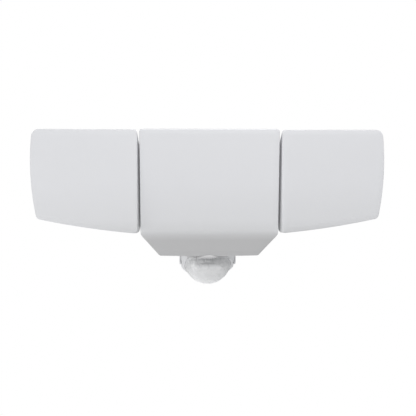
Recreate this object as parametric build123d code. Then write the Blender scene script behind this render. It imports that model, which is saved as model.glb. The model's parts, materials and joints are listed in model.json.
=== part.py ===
from build123d import *
import os
from math import cos, degrees, atan2, radians, sin, sqrt

# A wall floodlight with three flat opal panels and a motion sensor under the middle one.
# Millimetres. The origin is on the wall at the centre of the wall plate; +Y goes into the
# wall, the light faces -Y, +Z is up, and the right-hand head is the one at +X.

# ---- Centre body ----
FRONT_Y = -96.0            # top edge of the centre cover
TOP_Z = 54.0
FACE_TOP_W = 141.0
FACE_BEND_W = 138.8
BEND_Z = TOP_Z - 104.7     # where the face bends into the chin
BEND_BACK = 5.5            # how far the bend lies behind the top edge
CHIN_W = 100.2
CHIN_Z = TOP_Z - 128.2
CHIN_BACK = 16.0           # how far the chin's lower edge lies behind the top edge
CHIN_SAG = 0.6
BEND_R = 9.0
SIDE_DRAFT = 0.15          # the cover narrows by this much each side per mm of depth
COVER_DEPTH = 10.0
COVER_WALL = 2.2
GASKET_T = 1.2
FLANGE_T = 5.0
WALL = 2.5
BOX_TOP_Z = TOP_Z - 3.5
BOX_BOTTOM_Z = CHIN_Z + 0.6
BOX_FRONT_Y = FRONT_Y + COVER_DEPTH + GASKET_T
BOX_FRONT_HALF = 54.0      # half width of the body just behind the flange
BOX_REAR_HALF = 49.0       # half width of the body at the wall
PARTITION_Y = -36.0        # between the electronics bay and the wiring bay
SHELF_Z = -43.0            # floor of both bays, above the sensor bay
DRIVER_POST = 3.4          # standoff of the driver board
BOARD_T = 1.6
DRIVER_FRONT_Y = PARTITION_Y - WALL - DRIVER_POST - BOARD_T
POST_R = 3.6
PILOT_R = 1.42
SHANK_R = 1.4

# ---- Wall side ----
PLATE_W = 92.0
PLATE_H = 82.0
PLATE_T = 3.0
WALL_GASKET_T = 1.5
SCREW_SPACING_X = 76.0
SCREW_SPACING_Z = 60.0
WALL_HOLE_R = 2.5
ENTRY_X = -20.0
ENTRY_Z = -14.0
CABLE_R = 4.5
ENTRY_R = 8.0
LOCK_Y = -10.0
LOCK_Z = 6.0

# ---- Light heads, in a frame whose origin is the head's inner top front corner ----
GAP = 2.4                  # between the centre cover and a head
HEAD_TOP_DROP = 0.8
HEAD_YAW = 12.0            # how far the outer end of a head is swung back at rest
HEAD_INNER_H = 104.0
HEAD_TOP_W = 109.2
HEAD_RISE = 1.4            # outer top corner above the inner one
HEAD_BULGE = (110.9, -44.0)
HEAD_LOW = (104.6, -90.0)
HEAD_SAG = (60.0, -97.5)
HEAD_DEPTH = 36.0
HEAD_OUTER_DEPTH = 20.0
HEAD_FLAT_X = 40.0         # the back is parallel to the front up to here
HEAD_TOP_SLOPE = 0.68      # depth gained per millimetre below the top edge
HEAD_FOOT_DEPTH = 8.0
HEAD_FOOT_Z = -106.0
HEAD_BACK_LOW_Z = -74.0
HEAD_COVER_DEPTH = 8.0
TRAY_FRONT = 9.8
TRAY_T = 1.5
HEAD_SCREWS = ((13.0, -25.0), (96.0, -25.0), (13.0, -90.0), (92.0, -80.0))
HEAD_X = FACE_TOP_W / 2 + GAP
HEAD_Z = TOP_Z - HEAD_TOP_DROP

# ---- Knuckles ----
PIN_X = 60.5
PIN_Y = -72.0
PIN_R = 2.0
KNUCKLE_Z = -5.0
BARREL_R = 4.4
BARREL_H = 18.0
LUG_T = 5.0
LUG_R = 5.0
LUG_GAP = 0.4
SPIGOT_R = 4.5
COLLAR_R = 8.0
KNUCKLE_ROOM_R = 11.5      # hollow in the flange that the knuckle turns in
BUSH_R = 6.2
RUN = 0.06                 # radial clearance of a running fit
PIN_OUT = (HEAD_X - PIN_X) * cos(radians(HEAD_YAW)) + (FRONT_Y - PIN_Y) * sin(radians(HEAD_YAW))
PIN_BACK = (HEAD_X - PIN_X) * sin(radians(HEAD_YAW)) - (FRONT_Y - PIN_Y) * cos(radians(HEAD_YAW))
AXIS_Z = KNUCKLE_Z - HEAD_Z

# ---- Motion sensor ----
BALL_Y = FRONT_Y + 48.0
BALL_Z = TOP_Z - 135.5
BALL_R = 29.0
BALL_WALL = 2.4
LENS_R = 24.5
LENS_WALL = 1.2
SENSOR_TILT = 40.0         # how far the dome's axis leans forward at rest
SEAM_UP = 3.2              # joint between ball and bezel, above the ball's centre
FLAT_X = 27.5              # flats on both sides of the ball, for the swivel's cheeks
CHEEK_GAP = 0.1
CHEEK_OUT_X = 29.2
CHEEK_R = 4.0
STUD_R = 1.4               # the ball tilts on these studs
STUD_TIP_X = 26.45
SWEEP_R = 30.2             # room for the cheeks as the swivel turns
RETAINER_IN_R = 22.4
RETAINER_TOP = 1.0
BROW_IN_R = 30.2           # curved lip under the chin, in front of the ball
BROW_T = 1.6
BROW_DROP = 3.0
BROW_LEFT_X = -21.5
BROW_FULL_X = 2.0          # from here to the right-hand end the lip tapers away
BROW_RIGHT_X = 21.5
BROW_MARK_X = -12.2
SENSOR_BOARD_R = 23.4
BEZEL_SHOULDER = -1.2
BEZEL_LIP = -5.8
BEZEL_LIP_R = 24.6
BEZEL_IN_R = 26.4
CUP_GAP = 0.3
CUP_WALL = 2.4
STEM_R = 4.0
SPIGOT_OUT_R = 6.5
BALL_OPENING_R = 12.4
STEM_FOOT_R = 14.2
O_RING_UP = 14.05          # height of the rubber ring above the ball's centre
O_RING_R = 26.3
O_RING_T = 1.6
DIAL_R = 5.5
DIAL_H = 5.0
DIAL_SHAFT_R = 2.5
DIAL_XS = (-16.0, 0.0, 16.0)
DIAL_NAMES = ("time_dial", "lux_dial", "range_dial")
DIAL_Y = -9.8

LED_SIZE = 3.0
LED_T = 0.8

os.makedirs("parts", exist_ok=True)


# ---------------------------------------------------------------- helpers

def box(low, high):
    """Box between two opposite corners."""
    size = [abs(b - a) for a, b in zip(low, high)]
    middle = [(a + b) / 2 for a, b in zip(low, high)]
    return Pos(*middle) * Box(*size)


def rod(start, end, radius):
    """Solid cylinder between two points."""
    direction = Vector(*end) - Vector(*start)
    plane = Plane(origin=start, z_dir=direction)
    return extrude(plane * Circle(radius), direction.length)


def tube(start, end, outer, inner):
    """Cylinder between two points with a hole through it."""
    return rod(start, end, outer) - rod(start, end, inner)


def group(shapes):
    """Separate solids kept together in one piece."""
    return Compound(children=list(shapes))


def screw(head, tip, head_r, head_t, shank_r=SHANK_R):
    """Cross-recess screw whose head's outer face is at head."""
    direction = (Vector(*tip) - Vector(*head)).normalized()
    seat = Vector(*head) + direction * head_t
    seat_point = (seat.X, seat.Y, seat.Z)
    body = rod(head, seat_point, head_r) + rod(seat_point, tip, shank_r)
    slot_l = head_r * 1.15
    slot_w = head_r * 0.28
    slot = Rectangle(slot_l, slot_w) + Rectangle(slot_w, slot_l)
    return body - extrude(Plane(origin=head, z_dir=direction) * slot, head_t * 0.6)


def spread(low, high, count):
    """Evenly spaced values from low to high."""
    return [low + (high - low) * i / (count - 1) for i in range(count)]


def turned(edges):
    """Turn a closed (radius, height) outline about the vertical."""
    return revolve(make_face(Plane.XZ * edges), Axis.Z)


# ---------------------------------------------------------------- centre body

def centre_outline(inset):
    """Front view of the centre cover: a tall panel that narrows into the chin."""
    top = FACE_TOP_W / 2
    bend = FACE_BEND_W / 2
    chin = CHIN_W / 2
    knee = BEND_Z - 1.5
    sides = Polyline((-chin, CHIN_Z), (-bend, knee), (-top, TOP_Z), (top, TOP_Z), (bend, knee),
                     (chin, CHIN_Z))
    bottom = ThreePointArc((chin, CHIN_Z), (0, CHIN_Z - CHIN_SAG), (-chin, CHIN_Z))
    face = make_face(sides + bottom)
    face = fillet(face.vertices().sort_by(Axis.Y)[-2:], 3.0)
    face = fillet(face.vertices().filter_by_position(Axis.Y, knee - 0.1, knee + 0.1), 3.0)
    face = fillet(face.vertices().sort_by(Axis.Y)[:2], 6.0)
    if inset > 0:
        face = offset(face, -inset)
    return face


def face_line(shift):
    """Side view of the front face, moved back by shift, running past both ends."""
    lean = BEND_BACK / (TOP_Z - BEND_Z)
    chin_lean = (CHIN_BACK - BEND_BACK) / (BEND_Z - CHIN_Z)
    beyond = 8.0
    return [
        (FRONT_Y + shift - lean * beyond, TOP_Z + beyond),
        (FRONT_Y + shift + BEND_BACK, BEND_Z),
        (FRONT_Y + shift + CHIN_BACK + chin_lean * beyond, CHIN_Z - beyond),
    ]


def front_y_at(z):
    """Where the front face lies at a height."""
    if z > BEND_Z:
        return FRONT_Y + BEND_BACK * (TOP_Z - z) / (TOP_Z - BEND_Z)
    return FRONT_Y + BEND_BACK + (CHIN_BACK - BEND_BACK) * (BEND_Z - z) / (BEND_Z - CHIN_Z)


def side_slab(near, far):
    """Endless slice between two depths behind the front face."""
    side = make_face(Polyline(*face_line(near), *reversed(face_line(far)), close=True))
    bends = side.vertices().filter_by_position(Axis.Y, BEND_Z - 0.1, BEND_Z + 0.1)
    return extrude(Plane.YZ * fillet(bends, BEND_R), FACE_TOP_W, both=True)


def centre_band(near, far, inset=0.0):
    """Slice of the centre body between two depths behind its front face."""
    front = FACE_TOP_W / 2 - inset + 1.0 * SIDE_DRAFT
    rear = front - SIDE_DRAFT * 80
    plan = make_face(Polyline((-front, FRONT_Y - 1), (front, FRONT_Y - 1), (rear, FRONT_Y + 79),
                              (-rear, FRONT_Y + 79), close=True))
    draft = extrude(Pos(0, 0, -100) * plan, 200)
    return extrude(Plane.XZ * centre_outline(inset), 120) & side_slab(near, far) & draft


def cover_screw_places():
    """Where the screws come through the flange into the centre cover's posts."""
    return ((-60.5, 41.0), (60.5, 41.0), (-60.0, -36.0), (60.0, -36.0))


def ball_space(radius):
    """Ball-shaped room round the sensor."""
    return Pos(0, BALL_Y, BALL_Z) * Sphere(radius)


def sweep_space():
    """Room in the underside for the swivel's cheeks."""
    return rod((0, BALL_Y, BALL_Z), (0, BALL_Y, BOX_BOTTOM_Z + WALL + 0.1), SWEEP_R)


def brow():
    """Curved lip under the chin in front of the ball; its right-hand end tapers away."""
    low = CHIN_Z - BROW_DROP
    ring = tube((0, BALL_Y, low), (0, BALL_Y, CHIN_Z + 0.6), BROW_IN_R + BROW_T, BROW_IN_R)
    front = Polyline((BROW_LEFT_X, low), (BROW_FULL_X, low), (BROW_RIGHT_X, CHIN_Z),
                     (BROW_RIGHT_X, CHIN_Z + 5), (BROW_LEFT_X, CHIN_Z + 5), close=True)
    ring &= extrude(Plane.XZ.offset(-BALL_Y + 10) * make_face(front), 40)
    mark = BROW_MARK_X
    return ring - box((mark - 0.5, -100, low - 1), (mark + 0.5, -60, low + 2.0))


def centre_cover():
    """Opal cover with its chin and brow: one moulded shell with four screw posts."""
    shell = centre_band(0, COVER_DEPTH)
    shell -= centre_band(COVER_WALL, COVER_DEPTH + 3, COVER_WALL)
    shell += brow()
    for x, z in cover_screw_places():
        y = front_y_at(z)
        shell += rod((x, y + 1, z), (x, y + COVER_DEPTH - 0.4, z), POST_R)
        shell -= rod((x, y + 3.5, z), (x, y + COVER_DEPTH + 1, z), PILOT_R)
    return shell - ball_space(BALL_R + 0.6) - sweep_space()


def centre_gasket():
    """Seal between the cover's edge and the housing, above the sensor bay."""
    floor = SHELF_Z - WALL - 2.5
    ring = centre_band(COVER_DEPTH, COVER_DEPTH + GASKET_T, 0.4)
    hole = centre_band(COVER_DEPTH - 1, COVER_DEPTH + GASKET_T + 1, 4.0)
    ring &= box((-90, -120, floor), (90, 0, 90))
    hole &= box((-90, -120, floor + 3.6), (90, 0, 90))
    return ring - hole


def box_half(y):
    """Half width of the housing's box at a depth."""
    share = (y - BOX_FRONT_Y) / (0 - BOX_FRONT_Y)
    return BOX_FRONT_HALF + (BOX_REAR_HALF - BOX_FRONT_HALF) * share


def drafted_box(y0, y1, z0, z1, inset=0.0):
    """Part of the housing's box: its sides draw in towards the wall."""
    a = box_half(y0) - inset
    b = box_half(y1) - inset
    plan = make_face(Polyline((-a, y0), (a, y0), (b, y1), (-b, y1), close=True))
    return extrude(Pos(0, 0, z0) * plan, z1 - z0)


def lug_heights():
    """Lower faces of the two ears that hold a pan pin."""
    reach = BARREL_H / 2 + LUG_GAP
    return (KNUCKLE_Z - reach - LUG_T, KNUCKLE_Z + reach)


def pivot_lugs(side):
    """Two ears on the housing's flank that hold a head's pan pin."""
    x = side * PIN_X
    root = side * (box_half(PIN_Y) - WALL / 2)
    lugs = []
    for z0 in lug_heights():
        arm = box((root, PIN_Y - LUG_R, z0), (x, PIN_Y + LUG_R, z0 + LUG_T))
        lugs.append(arm + rod((x, PIN_Y, z0), (x, PIN_Y, z0 + LUG_T), LUG_R))
    return lugs


def tray_screw_places():
    """Where the centre LED tray is screwed to the flange."""
    return ((-58.0, 20.0), (58.0, 20.0), (-58.0, -18.0), (58.0, -18.0))


def driver_screw_places():
    """Corners of the driver board."""
    return ((-38.0, -26.0), (38.0, -26.0), (-38.0, 42.0), (38.0, 42.0))


def centre_housing():
    """Body shell: flange, electronics bay, wiring bay at the wall, sensor bay below."""
    flange_front = COVER_DEPTH + GASKET_T
    outer = drafted_box(BOX_FRONT_Y + 1, -WALL_GASKET_T, BOX_BOTTOM_Z, BOX_TOP_Z)
    rear_edges = outer.edges().filter_by(Axis.Y, tolerance=10)
    outer = fillet(rear_edges, 5.0) & side_slab(flange_front, 130)
    body = outer + centre_band(flange_front, flange_front + FLANGE_T)
    top = BOX_TOP_Z - WALL
    body -= drafted_box(BOX_FRONT_Y - 9, PARTITION_Y - WALL, SHELF_Z, top, WALL)
    body -= drafted_box(PARTITION_Y, 1, SHELF_Z, top, WALL)
    body -= drafted_box(BOX_FRONT_Y - 9, -WALL_GASKET_T - WALL, BOX_BOTTOM_Z + WALL,
                        SHELF_Z - WALL, WALL)
    body -= ball_space(BALL_R + 0.6)
    body -= sweep_space()
    cup_room = ball_space(BALL_R + CUP_GAP + CUP_WALL + 0.6)
    body -= cup_room & box((-90, -90, BOX_BOTTOM_Z + WALL), (90, 0, SHELF_Z - WALL))
    for side in (-1, 1):
        for lug in pivot_lugs(side):
            body += lug
        x = side * PIN_X
        body -= rod((x, PIN_Y, KNUCKLE_Z - 20), (x, PIN_Y, KNUCKLE_Z + 20), PIN_R + 0.02)
        body -= rod((side * 40, LOCK_Y, LOCK_Z), (side * 60, LOCK_Y, LOCK_Z), 1.5)
        body -= rod((side * 48.4, LOCK_Y, LOCK_Z), (side * 60, LOCK_Y, LOCK_Z), 3.4)
        reach = BARREL_H / 2 + LUG_GAP
        room = rod((x, PIN_Y, KNUCKLE_Z - reach), (x, PIN_Y, KNUCKLE_Z + reach), KNUCKLE_ROOM_R)
        flank = side * (box_half(PIN_Y - KNUCKLE_ROOM_R) + 0.1)
        body -= room & box((flank, -100, -40), (side * 90, -50, 40))
    for x, z in cover_screw_places():
        y = front_y_at(z) + flange_front
        body -= rod((x, y - 3, z), (x, y + 20, z), 1.5)
    for x, z in tray_screw_places():
        y = front_y_at(z) + flange_front
        body -= rod((x, y - 3, z), (x, y + 4.2, z), PILOT_R)
    for x, z in driver_screw_places():
        y = PARTITION_Y - WALL
        body += rod((x, y - DRIVER_POST, z), (x, y + 0.5, z), 3.0)
        body -= rod((x, y - 4, z), (x, y + 1, z), PILOT_R)
    body -= rod((0, BALL_Y, SHELF_Z - 5), (0, BALL_Y, SHELF_Z + 1), SPIGOT_OUT_R + RUN)
    body -= rod((-30, PARTITION_Y - 5, 30), (-30, PARTITION_Y + 1, 30), 4.0)
    for x in DIAL_XS:
        body -= rod((x, DIAL_Y, BOX_BOTTOM_Z - 1), (x, DIAL_Y, BOX_BOTTOM_Z + WALL + 1),
                    DIAL_SHAFT_R + RUN)
    return body


def centre_cover_screws():
    """Screws from behind the flange into the cover's posts."""
    back = COVER_DEPTH + GASKET_T + FLANGE_T
    screws = []
    for x, z in cover_screw_places():
        y = front_y_at(z)
        screws.append(screw((x, y + back + 2.2, z), (x, y + 4.0, z), 2.8, 1.8))
    return group(screws)


def centre_tray():
    """Aluminium heat spreader that lies on the flange inside the cover."""
    back = COVER_DEPTH + GASKET_T
    tray = centre_band(back - TRAY_T, back, 4.6)
    tray &= box((-90, -120, SHELF_Z - 0.8), (90, 0, 90))
    for x, z in cover_screw_places():
        notch = POST_R + 0.6
        tray -= rod((x, -110, z), (x, -60, z), notch)
        tray -= box((x, -110, z - notch), (1.2 * x, -60, z + notch))
    for x, z in tray_screw_places():
        tray -= rod((x, -110, z), (x, -60, z), 1.5)
    return tray


def centre_board():
    """LED board on the heat spreader."""
    back = COVER_DEPTH + GASKET_T - TRAY_T
    board = centre_band(back - BOARD_T, back, 6.0)
    return board & box((-53, -120, SHELF_Z + 2), (53, 0, TOP_Z - 7))


def centre_leds():
    """LED packages on the centre board, parallel to the leaning face."""
    lean = degrees(atan2(BEND_BACK, TOP_Z - BEND_Z))
    depth = (COVER_DEPTH + GASKET_T - TRAY_T - BOARD_T)
    leds = []
    for x in spread(-45, 45, 7):
        for z in spread(-34, 40, 5):
            place = Pos(x, front_y_at(z) + depth, z) * Rot(lean, 0, 0)
            leds.append(place * Pos(0, -LED_T / 2 - 0.02, 0) * Box(LED_SIZE, LED_T, LED_SIZE))
    return group(leds)


def inner_screws():
    """Identical small screws of the heat spreader and of the driver board."""
    back = COVER_DEPTH + GASKET_T - TRAY_T - 0.2
    posts = DRIVER_FRONT_Y
    screws = []
    for x, z in tray_screw_places():
        y = front_y_at(z) + back
        screws.append(screw((x, y - 1.6, z), (x, y + 4.8, z), 2.6, 1.6))
    for x, z in driver_screw_places():
        screws.append(screw((x, posts - 1.6, z), (x, posts + 4.8, z), 2.6, 1.6))
    return group(screws)


# ---------------------------------------------------------------- driver electronics

def driver_board():
    """Circuit board on four posts in front of the partition."""
    y = DRIVER_FRONT_Y + BOARD_T
    board = box((-42, y - BOARD_T, -30), (42, y, 46))
    for x, z in driver_screw_places():
        board -= rod((x, y - 5, z), (x, y + 5, z), 1.5)
    return board


def transformer():
    """Transformer: a winding bobbin in a ferrite frame."""
    y = DRIVER_FRONT_Y
    core = box((4, y - 18, 6), (30, y, 32)) - box((9, y - 19, 11), (25, y + 1, 27))
    winding = box((9, y - 16, 12), (25, y, 26)) + box((9, y - 16, 11), (25, y - 13, 27))
    return core + winding


def capacitors():
    """Electrolytic capacitors standing on the driver board."""
    y = DRIVER_FRONT_Y
    cans = []
    for x, z, radius, height in ((-28, 20, 8.0, 22), (-28, 2, 6.3, 18), (-12, 34, 5.0, 14)):
        can = rod((x, y, z), (x, y - height, z), radius)
        can = fillet(can.edges().sort_by(Axis.Y)[:1], 0.8)
        cans.append(can - tube((x, y - 2.5, z), (x, y - 3.3, z), radius + 1, radius - 0.4))
    return group(cans)


def relay():
    """Relay that the sensor switches."""
    y = DRIVER_FRONT_Y
    case = box((10, y - 15, -22), (30, y, -11))
    return fillet(case.edges().filter_by(Axis.Y), 1.0)


def heat_sink():
    """Finned heat sink of the power switch."""
    y = DRIVER_FRONT_Y
    sink = box((-14, y - 16, -14), (-12, y, 12))
    for z in spread(-13, 10, 6):
        sink += box((-12.5, y - 16, z), (-5, y, z + 1.2))
    return sink


# ---------------------------------------------------------------- wall side

def wall_plate():
    """Plate screwed to the wall box, with two tabs that the body is locked to."""
    half_w = PLATE_W / 2
    plate = box((-half_w, -PLATE_T, -PLATE_H / 2), (half_w, 0, PLATE_H / 2))
    plate = fillet(plate.edges().filter_by(Axis.Y), 6.0)
    for side in (-1, 1):
        tab = box((side * half_w, -16, LOCK_Z - 7), (side * (half_w - 2.4), -PLATE_T, LOCK_Z + 7))
        boss = rod((side * half_w, LOCK_Y, LOCK_Z), (side * (half_w - 5), LOCK_Y, LOCK_Z), 3.4)
        plate += tab + boss
        plate -= rod((side * 50, LOCK_Y, LOCK_Z), (side * 38, LOCK_Y, LOCK_Z), PILOT_R)
        for z in (-SCREW_SPACING_Z / 2, SCREW_SPACING_Z / 2):
            x = side * SCREW_SPACING_X / 2
            plate -= rod((x, -PLATE_T - 1, z), (x, 1, z), WALL_HOLE_R)
    plate -= rod((ENTRY_X, -9, ENTRY_Z), (ENTRY_X, 1, ENTRY_Z), ENTRY_R)
    plate += rod((30, -PLATE_T - 5, -18), (30, -PLATE_T, -18), 3.6)
    plate -= rod((30, -PLATE_T - 6, -18), (30, -1, -18), PILOT_R)
    return plate


def lock_screws():
    """Screws through both flanks into the wall plate's tabs."""
    return group(
        screw((side * 50.2, LOCK_Y, LOCK_Z), (side * 42, LOCK_Y, LOCK_Z), 3.0, 1.7)
        for side in (-1, 1)
    )


def wall_gasket():
    """Foam seal between the housing's back edge and the wall."""
    half = box_half(-WALL_GASKET_T)
    ring = box((-half + 0.3, -WALL_GASKET_T, BOX_BOTTOM_Z + 0.3), (half - 0.3, 0, BOX_TOP_Z - 0.3))
    hole = box((-half + 2.3, -3, BOX_BOTTOM_Z + 2.3), (half - 2.3, 1, BOX_TOP_Z - 2.3))
    ring = fillet(ring.edges().filter_by(Axis.Y), 4.7)
    return ring - fillet(hole.edges().filter_by(Axis.Y), 3.0)


def cable_grommet():
    """Rubber grommet with a tapered nose in the wall plate's cable hole."""
    plug = rod((ENTRY_X, -PLATE_T, ENTRY_Z), (ENTRY_X, 0, ENTRY_Z), ENTRY_R - 0.02)
    rim = rod((ENTRY_X, -PLATE_T - 2.0, ENTRY_Z), (ENTRY_X, -PLATE_T, ENTRY_Z), ENTRY_R + 2)
    nose = Plane(origin=(ENTRY_X, -PLATE_T - 2, ENTRY_Z), z_dir=(0, -1, 0))
    cone = loft([nose * Circle(ENTRY_R - 1), nose.offset(7) * Circle(CABLE_R + 1.2)])
    body = plug + rim + cone
    return body - rod((ENTRY_X, -20, ENTRY_Z), (ENTRY_X, 1, ENTRY_Z), CABLE_R)


def terminal_block():
    """Three-way terminal block on the wall plate."""
    block = box((0, -17, 10), (36, -PLATE_T, 26))
    for x in (6.0, 18.0, 30.0):
        block -= rod((x, -10, 5), (x, -10, 31), 2.2)
        block -= box((x - 0.4 + 6, -18, 9), (x + 0.4 + 6, -13, 27))
        for z in (14.0, 22.0):
            block -= rod((x, -20, z), (x, -10, z), 2.0)
    return block


def terminal_screws():
    """Clamp screws of the terminal block."""
    return group(
        screw((x, -15.4, z), (x, -10.2, z), 1.9, 1.6, 1.3)
        for x in (6.0, 18.0, 30.0)
        for z in (14.0, 22.0)
    )


def earth_screw():
    """Earth terminal on the wall plate."""
    return screw((30, -11, -18), (30, -3.5, -18), 3.4, 1.8)


# ---------------------------------------------------------------- light heads

def head_outline(inset):
    """Front view of the right head: the outer and lower edges bow outwards."""
    low = HEAD_LOW
    straight = Polyline((0, -HEAD_INNER_H), (0, 0), (HEAD_TOP_W, HEAD_RISE))
    outer = ThreePointArc((HEAD_TOP_W, HEAD_RISE), HEAD_BULGE, low)
    lower = ThreePointArc(low, HEAD_SAG, (0, -HEAD_INNER_H))
    face = make_face(straight + outer + lower)
    face = fillet(face.vertices().sort_by(Axis.X)[:2], 3.0)
    face = fillet(face.vertices().sort_by(Axis.Y)[-1:], 8.0)
    corner = face.vertices().sort_by_distance((low[0], low[1], 0))[:1]
    face = fillet(corner, 5.0)
    if inset > 0:
        face = offset(face, -inset)
    return face


def head_block(near, far, inset=0.0):
    """Slice of a head between two depths; its top, foot and outer back slope away."""
    top = HEAD_COVER_DEPTH * 0.15 / HEAD_TOP_SLOPE
    side = Polyline((-60, top), (0, top), (HEAD_DEPTH, top - HEAD_DEPTH / HEAD_TOP_SLOPE),
                    (HEAD_DEPTH, HEAD_BACK_LOW_Z), (HEAD_FOOT_DEPTH, HEAD_FOOT_Z),
                    (-60, HEAD_FOOT_Z), close=True)
    plan = Polyline((-60, -60), (200, -60), (200, 0), (HEAD_TOP_W, HEAD_OUTER_DEPTH),
                    (HEAD_FLAT_X, HEAD_DEPTH), (-60, HEAD_DEPTH), close=True)
    side_face = make_face(side)
    plan_face = make_face(plan)
    if inset > 0:
        side_face = offset(side_face, -inset, kind=Kind.INTERSECTION)
        plan_face = offset(plan_face, -inset, kind=Kind.INTERSECTION)
    front = extrude(Plane.XZ.offset(-near) * head_outline(inset), near - far)
    side_prism = extrude(Plane.YZ * side_face, 300, both=True)
    plan_prism = extrude(Pos(0, 0, -150) * plan_face, 300)
    return front & side_prism & plan_prism


def head_cover():
    """Opal cover of a head, with four screw posts."""
    shell = head_block(0, HEAD_COVER_DEPTH)
    shell -= head_block(COVER_WALL, HEAD_COVER_DEPTH + 3, COVER_WALL)
    for x, z in HEAD_SCREWS:
        shell += rod((x, 1, z), (x, TRAY_FRONT - 0.1, z), POST_R)
        shell -= rod((x, 3.2, z), (x, TRAY_FRONT + 1, z), PILOT_R)
    return shell


def head_gasket():
    """Dark rubber seal between a head's cover and housing."""
    back = HEAD_COVER_DEPTH + GASKET_T
    ring = head_block(HEAD_COVER_DEPTH, back, 0.2)
    return ring - head_block(HEAD_COVER_DEPTH - 1, back + 1, 2.6)


def head_housing():
    """Rear shell of a head, with screw bosses and a bushed hole for the spigot."""
    front = HEAD_COVER_DEPTH + GASKET_T
    outer = head_block(front, HEAD_DEPTH)
    shell = outer - head_block(front - 1, HEAD_DEPTH, WALL)
    floor = TRAY_FRONT + TRAY_T
    for x, z in HEAD_SCREWS:
        shell += rod((x, floor, z), (x, HEAD_DEPTH, z), 5.2) & outer
        shell -= rod((x, floor - 1, z), (x, HEAD_DEPTH, z), 1.6)
        shell -= rod((x, floor + 3.8, z), (x, HEAD_DEPTH, z), 3.5)
    return shell - rod((-2, PIN_BACK, AXIS_Z), (WALL + 2, PIN_BACK, AXIS_Z), BUSH_R + 0.02)


def head_tray():
    """Aluminium heat spreader clamped between the housing's bosses and the cover's posts."""
    tray = head_block(TRAY_FRONT, TRAY_FRONT + TRAY_T, WALL + 0.4)
    for x, z in HEAD_SCREWS:
        tray -= rod((x, 0, z), (x, 30, z), 1.6)
    return tray


def head_board():
    """LED board of a head."""
    board = head_block(TRAY_FRONT - BOARD_T, TRAY_FRONT, 6.5)
    for x, z in HEAD_SCREWS:
        board -= rod((x, 0, z), (x, 30, z), POST_R + 0.5)
    return board


def head_leds():
    """LED packages on a head's board."""
    back = TRAY_FRONT - BOARD_T - 0.02
    half = LED_SIZE / 2
    leds = []
    for x in spread(24, 82, 5):
        for z in spread(-32, -78, 4):
            leds.append(box((x - half, back - LED_T, z - half), (x + half, back, z + half)))
    return group(leds)


def head_screws():
    """Screws from the back of a head into its cover."""
    head_y = TRAY_FRONT + TRAY_T + 3.8 + 2.0
    return group(screw((x, head_y, z), (x, 3.6, z), 3.0, 1.9) for x, z in HEAD_SCREWS)


def tilt_bush():
    """Plastic bush in a head's inner wall that the knuckle's spigot turns in."""
    bush = rod((0, PIN_BACK, AXIS_Z), (WALL + 0.02, PIN_BACK, AXIS_Z), BUSH_R)
    rim = rod((WALL + 0.02, PIN_BACK, AXIS_Z), (WALL + 1.2, PIN_BACK, AXIS_Z), BUSH_R + 1.0)
    return bush + rim - rod((-1, PIN_BACK, AXIS_Z), (6, PIN_BACK, AXIS_Z), SPIGOT_R + RUN)


def knuckle():
    """Arm between body and head: upright barrel, collar and level spigot."""
    barrel = rod((-PIN_OUT, PIN_BACK, AXIS_Z - BARREL_H / 2),
                 (-PIN_OUT, PIN_BACK, AXIS_Z + BARREL_H / 2), BARREL_R)
    spigot = rod((-PIN_OUT, PIN_BACK, AXIS_Z), (11, PIN_BACK, AXIS_Z), SPIGOT_R)
    collar = rod((-3.6, PIN_BACK, AXIS_Z), (-0.5, PIN_BACK, AXIS_Z), COLLAR_R)
    arm = barrel + spigot + fillet(collar.edges(), 0.5)
    arm -= rod((-PIN_OUT, PIN_BACK, AXIS_Z - 20), (-PIN_OUT, PIN_BACK, AXIS_Z + 20), PIN_R + RUN)
    return arm - rod((-2.5, PIN_BACK, AXIS_Z), (12, PIN_BACK, AXIS_Z), 2.2)


def tilt_nut():
    """Friction washer and hexagon nut that keep the head on its spigot."""
    y = PIN_BACK
    start = WALL + 1.5
    washer = tube((start, y, AXIS_Z), (start + 1.2, y, AXIS_Z), BUSH_R + 1.0, SPIGOT_R + 0.03)
    plane = Plane(origin=(start + 1.3, y, AXIS_Z), x_dir=(0, 0, 1), z_dir=(1, 0, 0))
    nut = extrude(plane * RegularPolygon(7.2, 6), 3.6)
    nut -= rod((0, y, AXIS_Z), (12, y, AXIS_Z), SPIGOT_R + 0.02)
    return group([washer, nut])


def pan_pin():
    """Upright pin through the housing's ears and the knuckle's barrel."""
    low = KNUCKLE_Z - BARREL_H / 2 - LUG_GAP - LUG_T - 2.4
    high = KNUCKLE_Z + BARREL_H / 2 + LUG_GAP + LUG_T
    pin = rod((PIN_X, PIN_Y, low), (PIN_X, PIN_Y, high + 0.1), PIN_R)
    head = rod((PIN_X, PIN_Y, high + 0.05), (PIN_X, PIN_Y, high + 1.7), 3.6)
    return pin + head - tube((PIN_X, PIN_Y, low + 1.1), (PIN_X, PIN_Y, low + 2.1), 3, 1.5)


def pan_pin_clips():
    """Spring clips in the grooves at the lower ends of both pan pins."""
    low = KNUCKLE_Z - BARREL_H / 2 - LUG_GAP - LUG_T - 2.4
    clips = []
    for side in (-1, 1):
        x = side * PIN_X
        clip = tube((x, PIN_Y, low + 1.2), (x, PIN_Y, low + 2.0), 3.6, 1.55)
        clips.append(clip - box((x - 1.0, PIN_Y, low), (x + 1.0, PIN_Y - 5, low + 3)))
    return group(clips)


# ---------------------------------------------------------------- motion sensor

def sensor_place(shape):
    """Move a piece from the dome's own frame to its leaning place under the body."""
    return Pos(0, BALL_Y, BALL_Z) * Rot(-SENSOR_TILT, 0, 0) * shape


def on_sphere(radius, height):
    """Point (radius from the axis, height) on a sphere."""
    return (sqrt(radius ** 2 - height ** 2), height)


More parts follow.
